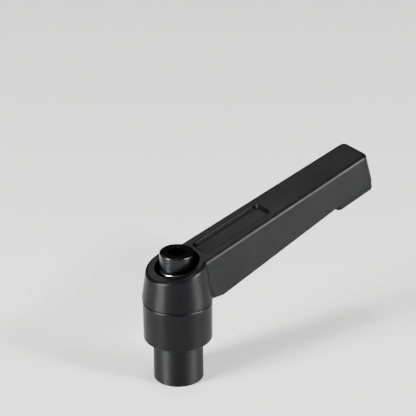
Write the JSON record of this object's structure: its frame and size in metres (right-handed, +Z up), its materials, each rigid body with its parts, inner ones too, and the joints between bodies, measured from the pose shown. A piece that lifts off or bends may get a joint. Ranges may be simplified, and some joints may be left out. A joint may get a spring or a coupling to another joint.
{
  "type": "adjustable clamping lever",
  "caption": "Ratcheting clamping lever: a sprung die-cast handle lifts off a toothed steel insert with an internal thread, turns free and drops back into mesh",
  "frame": {"origin": "where the hub's axis meets the insert's lower face, which seats on the clamped part", "axes": "+Z up the hub's axis, out of the clamped part; +X under the arm, from the hub to the tip; +Y completes the right-handed frame"},
  "size_m": [0.0781, 0.0204, 0.0537],
  "materials": {
    "black_powder_coat": "fine matt black powder coat on die-cast zinc",
    "blackened_steel": "satin chemically blackened steel",
    "screw_steel": "satin blackened steel",
    "spring_steel": "bright drawn wire"
  },
  "bodies": {
    "insert": {"threaded_insert": "blackened_steel", "retaining_screw": "screw_steel"},
    "turning": {"compression_spring": "spring_steel"},
    "handle": {"lever_handle": "black_powder_coat"}
  },
  "joints": [
    {"name": "turn", "type": "hinge", "parent": "insert", "child": "turning", "pos_m": [0, 0, 0], "axis": [0, 0, 1], "continuous": true},
    {"name": "lift", "type": "slide", "parent": "turning", "child": "handle", "axis": [0, 0, 1], "range_m": [0, 0.0045], "stiffness_N_per_m": 3200, "springref_m": -0.006, "deforming": ["compression_spring"]}
  ]
}
